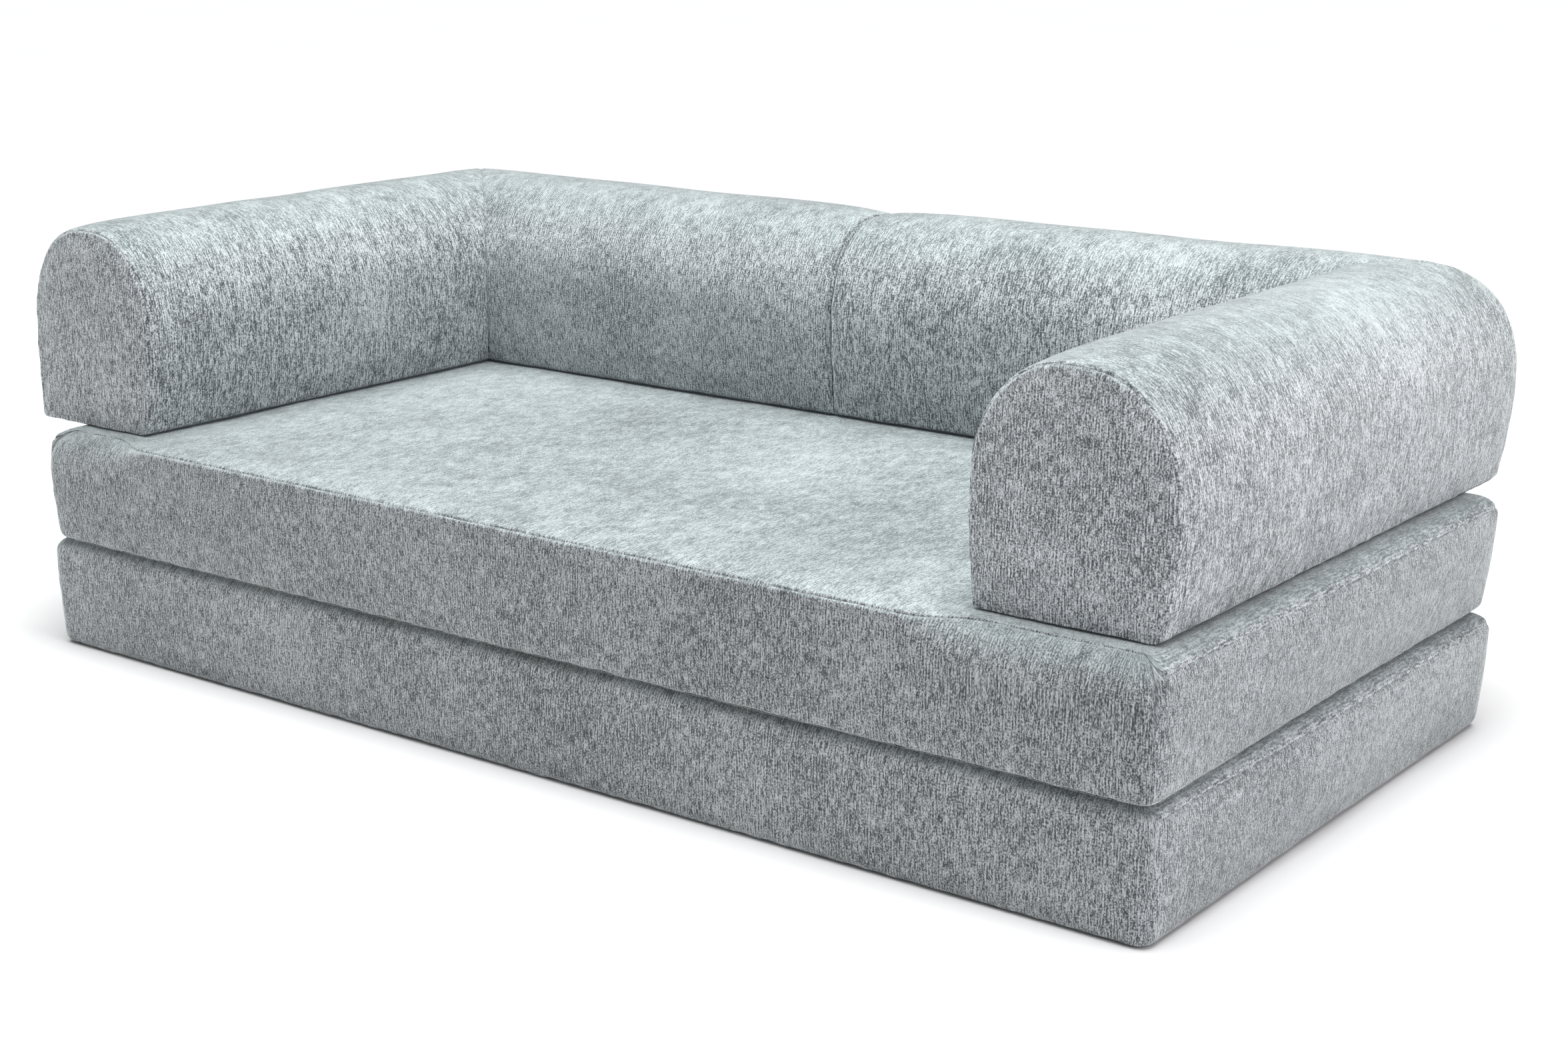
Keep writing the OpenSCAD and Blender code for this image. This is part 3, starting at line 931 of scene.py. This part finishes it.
def upholstery():
    """Chenille: pale tufts along fine ribs over a darker ground, in patches and clouds."""
    paint = Paint("upholstery_chenille", sheen_weight=0.9, sheen_roughness=0.38,
                  sheen_tint=(0.93, 0.98, 0.98, 1.0), specular_ior_level=0.2)
    across, along, panel = paint.split(paint.attribute("weave", 1))
    shelf = paint.math("MULTIPLY", panel, PANEL_STEP)

    def cloth(size, level):
        return paint.vector(paint.math("DIVIDE", across, size[0]),
                            paint.math("DIVIDE", along, size[1]),
                            paint.math("ADD", shelf, level))

    tuft = paint.noise(cloth(TUFT, 1), detail=2, rough=0.6)
    slub = paint.noise(cloth(SLUB, 2), detail=1)
    drift = paint.noise(cloth(DRIFT, 3), detail=1)
    phase = paint.sum((across, 2 * math.pi / RIB_PITCH), (drift, 7.0))
    rib = paint.math("SINE", phase)
    patch = paint.noise(cloth(PATCH, 4), detail=3, rough=0.5)
    cloud = paint.noise(cloth(CLOUD, 5), detail=2)
    height = paint.sum((tuft, 0.60), (slub, 0.40), (rib, 0.022))
    mixed = paint.sum((height, 1.0), (patch, 0.12), (cloud, 0.10), -0.110)
    pale = paint.ramp(mixed, 0.374, 0.650)
    # Painted light and sheen on faces that look up: the colour's light factor gives way to a set
    # one, and the pattern partly gives way to a flatter broad tone
    up = paint.split(paint.node("ShaderNodeTexCoord", {}, 1))[2]
    top = paint.ramp(up, TOP_FROM, TOP_FULL)
    broad_tone = paint.sum((patch, 1.1), (cloud, 0.8), -0.40)
    painted_sheen_share = paint.math("MULTIPLY", top, TOP_PAINTED_SHEEN)
    pale = paint.node("ShaderNodeMix", {0: painted_sheen_share, 2: pale, 3: broad_tone})
    nap = paint.node("ShaderNodeMix", {0: top, 2: paint.attribute("nap", 2), 3: TOP_PAINTED_LIGHT})
    ground, tufts = linear(72, 76, 79), linear(198, 202, 205)
    shade = paint.mix(pale, ground, tufts)
    # Painted sheen: a greenish tint multiplied into faces that look up
    shade = paint.node("ShaderNodeMix", {0: top, 6: shade, 7: TOP_PAINTED_SHEEN_TINT}, 2, data_type="RGBA",
                       blend_type="MULTIPLY")
    # Painted shade in the seam valleys: the colour darkens to 0.68 at a seam, over a width wobbled
    # by noise
    seam = paint.attribute("seam", 2)
    seam_shade_wobble = paint.noise(cloth(SEAM_SHADE_WOBBLE, 6), detail=1)
    from_seam = paint.sum((seam, 1.0), (seam_shade_wobble, 0.0012), -0.0006)
    line = paint.ramp(from_seam, 0.0003, 0.0014, 0.68, 1.0)
    value = paint.math("MULTIPLY", line, nap)
    paint.colour(paint.node("ShaderNodeHueSaturation", {"Value": value, "Color": shade}))
    paint.set(paint.shader.inputs["Roughness"], paint.ramp(pale, 0.0, 1.0, 0.95, 0.80))
    paint.bump(paint.sum((height, 1.0), (patch, 0.12)), PILE_HEIGHT, 0.7)
    return paint.material


def lining():
    """Plain woven underside cloth, a darker grey, with a fine square weave."""
    paint = Paint("lining_weave", sheen_weight=0.1, specular_ior_level=0.3)
    across, along, _ = paint.split(paint.attribute("weave", 1))
    pitch = 2 * math.pi / 0.0016
    warp = paint.math("SINE", paint.math("MULTIPLY", across, pitch))
    weft = paint.math("SINE", paint.math("MULTIPLY", along, pitch))
    weave = paint.math("MULTIPLY", warp, weft)
    cloth = paint.vector(paint.math("DIVIDE", across, 0.05),
                         paint.math("DIVIDE", along, 0.05), 0)
    broad_tone = paint.noise(cloth, detail=3)
    share = paint.sum((weave, 0.22), (broad_tone, 0.8), 0.1)
    paint.colour(paint.mix(share, linear(84, 87, 92), linear(120, 123, 127)))
    paint.set(paint.shader.inputs["Roughness"], paint.ramp(share, 0.0, 1.0, 0.92, 0.78))
    paint.bump(weave, 0.0003, 0.6)
    return paint.material


def place_noise(paint, scale, detail=2.0, stretch=(1.0, 1.0, 1.0)):
    """Noise in the piece's own coordinates, in metres."""
    place = paint.node("ShaderNodeTexCoord", {}, 3)
    shaped = paint.node("ShaderNodeVectorMath", {0: place, 1: stretch}, operation="MULTIPLY")
    return paint.noise(shaped, scale=scale, detail=detail)


def foam():
    paint = Paint("foam_cells", specular_ior_level=0.2)
    cells = place_noise(paint, 900.0, 1)
    tone = place_noise(paint, 9.0, 3)
    share = paint.sum((cells, 0.5), (tone, 0.6), -0.05)
    paint.colour(paint.mix(share, linear(206, 190, 140), linear(238, 226, 184)))
    paint.set(paint.shader.inputs["Roughness"], paint.ramp(cells, 0.3, 0.7, 0.98, 0.85))
    paint.bump(cells, 0.0006, 0.8)
    return paint.material


def wadding():
    paint = Paint("wadding_fleece", sheen_weight=0.2, specular_ior_level=0.15)
    fibre = place_noise(paint, 260.0, 4, (1.0, 1.0, 3.0))
    paint.colour(paint.mix(fibre, linear(214, 214, 212), linear(246, 246, 244)))
    paint.set(paint.shader.inputs["Roughness"], paint.ramp(fibre, 0.3, 0.7, 0.98, 0.88))
    paint.bump(fibre, 0.0012, 0.8)
    return paint.material


def zip_tape():
    """Herringbone tape."""
    paint = Paint("zip_tape_weave", specular_ior_level=0.3)
    x, _, z = paint.split(paint.node("ShaderNodeTexCoord", {}, 3))
    zigzag = paint.math("PINGPONG", z, 0.0015)
    phase = paint.sum((x, 2 * math.pi / 0.0009), (zigzag, 2 * math.pi / 0.0009))
    weave = paint.math("SINE", phase)
    share = paint.sum((weave, 0.4), 0.5)
    paint.colour(paint.mix(share, linear(66, 69, 74), linear(104, 108, 114)))
    paint.set(paint.shader.inputs["Roughness"], paint.ramp(weave, -1.0, 1.0, 0.9, 0.72))
    paint.bump(weave, 0.00015, 0.7)
    return paint.material


def zip_metal():
    paint = Paint("zip_metal_nickel", metallic=1.0)
    scratch = place_noise(paint, 900.0, 3, (0.15, 1.0, 1.0))
    tone = place_noise(paint, 120.0, 2)
    paint.colour(paint.mix(tone, linear(148, 150, 152), linear(196, 198, 200)))
    paint.set(paint.shader.inputs["Roughness"], paint.ramp(scratch, 0.35, 0.65, 0.42, 0.24))
    paint.bump(scratch, 0.00004, 0.5)
    return paint.material


def studio_floor():
    paint = Paint("floor_paint", specular_ior_level=0.1)
    tone = place_noise(paint, 1.3, 2)
    paint.colour(paint.mix(tone, (0.79, 0.79, 0.79, 1), (0.81, 0.81, 0.81, 1)))
    paint.set(paint.shader.inputs["Roughness"], paint.ramp(tone, 0.3, 0.7, 0.9, 1.0))
    return paint.material


FINISH = {
    "upholstery": upholstery(),
    "lining": lining(),
    "foam": foam(),
    "wadding": wadding(),
    "zip_tape": zip_tape(),
    "zip_metal": zip_metal(),
}


def dress(piece, body, *slots):
    """Gives a new piece the materials of the given finishes, and sets it on its body."""
    for name in slots:
        piece.data.materials.append(FINISH[name])
    if body:
        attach(piece, body)
    return piece


# ---- The model ----

# How far a zip's chain stands above the fabric's plane
CHAIN_RISE = 0.001


def finished_cover(piece, low, high, zip_node, body, stands_for, seam_depth, seed):
    """Puffs, rounds and seams a cover, keeps it clear of what it touches, and dresses it."""
    puff(piece)
    flat_stop(piece, low, high)
    subdivide(piece)

    def free(points):
        share = np.ones(len(points))
        if low is not None:
            share *= smooth_step((points[:, 2] - low) / SEAM_FADE)
        if high is not None:
            share *= smooth_step((high - points[:, 2]) / SEAM_FADE)
        return share

    uneven(piece, seed, free)
    press_seams(piece, seam_depth, seed + 2)
    flat_stop(piece, low, high)
    front_stop(piece)
    zip_low, zip_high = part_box(zip_node)
    centre, middle_z = (zip_low.x + zip_high.x) / 2, (zip_low.z + zip_high.z) / 2
    plane = zip_high.y - CHAIN_RISE
    half = (zip_high.x - zip_low.x) / 2 - TAPE_END
    zip_bed(piece, centre, plane, half, middle_z)
    zip_groove(piece, centre, plane, half, middle_z)
    dress(piece, body, "upholstery", "lining")
    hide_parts(*stands_for)
    teeth = zip_teeth(zip_node + "_teeth", zip_node)
    dress(teeth, body, "zip_metal")


# Angles above the side at which a seam lies on the rolled edge
ROLL = math.radians(22)
CRISP = math.radians(45)
SOFT = math.radians(72)
HIDDEN = math.radians(76)
# Lower and upper edges
base_edges = (Edge((0.014, HIDDEN), (0.014, HIDDEN), (0.014, HIDDEN)),
              Edge((0.028, HIDDEN), (0.028, HIDDEN), (0.028, ROLL)))
seat_edges = (Edge((0.011, HIDDEN), (0.011, HIDDEN), (0.014, CRISP)),
              Edge((0.008, CRISP), (0.055, SOFT), (0.030, ROLL)))

# The mattresses' ends stand out at the top and are drawn in towards the bottom
LEAN_OUT = 0.008
BASE_DRAWN = 0.013
SEAT_DRAWN = 0.017


def base_lean(up):
    return LEAN_OUT - BASE_DRAWN * (1 - up) ** 2


def seat_lean(up):
    return LEAN_OUT - SEAT_DRAWN * (1 - up) ** 2


# What each mattress's border corners add to their distance from a seam, and seam depths
BASE_CORNER = 0.003
SEAT_CORNER = 0.0006
BASE_SEAM = 0.0018
SEAT_SEAM = 0.0020
BOLSTER_SEAM = 0.0015

base = mattress("base_soft_cover", BASE_BOTTOM, BASE_TOP, base_edges, base_lean, None,
                1, BASE_CORNER, BASE_PAINTED_LIGHT)
finished_cover(base, BASE_BOTTOM, BASE_TOP, "base_zip", "base",
               ["base_top_panel", "base_border", "base_underside", "base_foam",
                "base_wadding_top", "base_wadding_bottom"], BASE_SEAM, SEED)

seat = mattress("seat_soft_cover", SEAT_BOTTOM, SEAT_TOP, seat_edges, seat_lean, seat_limit,
                0, SEAT_CORNER, SEAT_PAINTED_LIGHT)
finished_cover(seat, SEAT_BOTTOM, None, "seat_zip", "seat",
               ["seat_top_panel", "seat_border", "seat_underside", "seat_foam",
                "seat_wadding_top", "seat_wadding_bottom"], SEAT_SEAM, SEED + 10)

for side, label in ((1, "right"), (-1, "left")):
    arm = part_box(label + "_arm_cover")
    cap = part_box(label + "_centre_cap")
    corner_x = arm[1].x if side > 0 else arm[0].x
    centre_plane = cap[0].x if side > 0 else cap[1].x
    piece = bolster(label + "_bolster_soft_cover", side, corner_x, centre_plane)
    parts = ["arm_cover", "back_cover", "front_cap", "centre_cap", "underside",
             "arm_foam", "back_foam", "arm_wadding", "back_wadding"]
    finished_cover(piece, BOLSTER_Z, None, label + "_zip", label + "_bolster",
                   [label + "_" + part for part in parts], BOLSTER_SEAM,
                   SEED + 20 + side)

strip = hinge_strip()
dress(strip, None, "upholstery")
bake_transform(strip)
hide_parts("hinge_strip")

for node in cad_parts.values():
    for place in node.material_slots:
        place.material = FINISH[place.material.name.split(".")[0]]

# ---- Floor, light and camera ----

FLOOR_SIZE = 120
# The sky lights at this level, and shows white behind the floor's far edge
SKY_LEVEL = 0.30
SKY_TINT = (0.96, 0.98, 1.0, 1.0)
DAYLIGHT = 3.1
DAYLIGHT_SPREAD = math.radians(50)
# The camera: lens and film width in millimetres, where it stands from the middle of the base's
# front edge (right, in front, up), and its tilt down and turn
LENS = 57.19
FILM = 36.0
CAMERA_RIGHT = 2.2678
CAMERA_AHEAD = 2.3782
CAMERA_UP = 1.2229
CAMERA_TILT = 14.8411
CAMERA_TURN = 37.0508

bpy.ops.mesh.primitive_grid_add(x_subdivisions=4, y_subdivisions=4, size=FLOOR_SIZE)
floor = bpy.context.object
floor.name = "studio_floor"
floor.location.z = BASE_BOTTOM - 0.0005
floor.data.materials.append(studio_floor())

world = bpy.data.worlds.new("studio")
SCENE.world = world
world.use_nodes = True
tree = world.node_tree
sky = tree.nodes["Background"]
sky.inputs["Color"].default_value = SKY_TINT
rays = tree.nodes.new("ShaderNodeLightPath")
level = tree.nodes.new("ShaderNodeMath")
level.operation = "MULTIPLY_ADD"
level.inputs[1].default_value = 1.0 - SKY_LEVEL
level.inputs[2].default_value = SKY_LEVEL
tree.links.new(rays.outputs["Is Camera Ray"], level.inputs[0])
tree.links.new(level.outputs[0], sky.inputs["Strength"])

sun_data = bpy.data.lights.new("soft_daylight", "SUN")
sun_data.energy = DAYLIGHT
sun_data.angle = DAYLIGHT_SPREAD
sun = bpy.data.objects.new("soft_daylight", sun_data)
SCENE.collection.objects.link(sun)


def softbox(name, place, target, width, length, power, tint):
    data = bpy.data.lights.new(name, "AREA")
    data.shape = "RECTANGLE"
    data.size, data.size_y = width, length
    data.energy = power
    data.color = tint
    box = bpy.data.objects.new(name, data)
    SCENE.collection.objects.link(box)
    box.location = place
    box.rotation_euler = (Vector(target) - Vector(place)).to_track_quat("-Z", "Y").to_euler()


softbox("softbox_above", (0.0, -0.15, 2.3), (0.0, -0.15, 0.0), 2.4, 1.1, 40.0,
        (0.95, 1.0, 0.985))
softbox("softbox_right", (3.2, -0.2, 1.3), (1.0, 0.0, 0.35), 1.6, 1.6, 22.0,
        (1.0, 0.94, 0.975))

camera_data = bpy.data.cameras.new("camera")
camera_data.sensor_width = FILM
camera_data.lens = LENS
camera_data.clip_end = 500.0
camera = bpy.data.objects.new("camera", camera_data)
SCENE.collection.objects.link(camera)
camera.location = (CAMERA_RIGHT, BASE_LOW.y - CAMERA_AHEAD, CAMERA_UP)
camera.rotation_euler = (math.radians(90 - CAMERA_TILT), 0.0, math.radians(CAMERA_TURN))
SCENE.camera = camera
SCENE.view_settings.view_transform = "Standard"
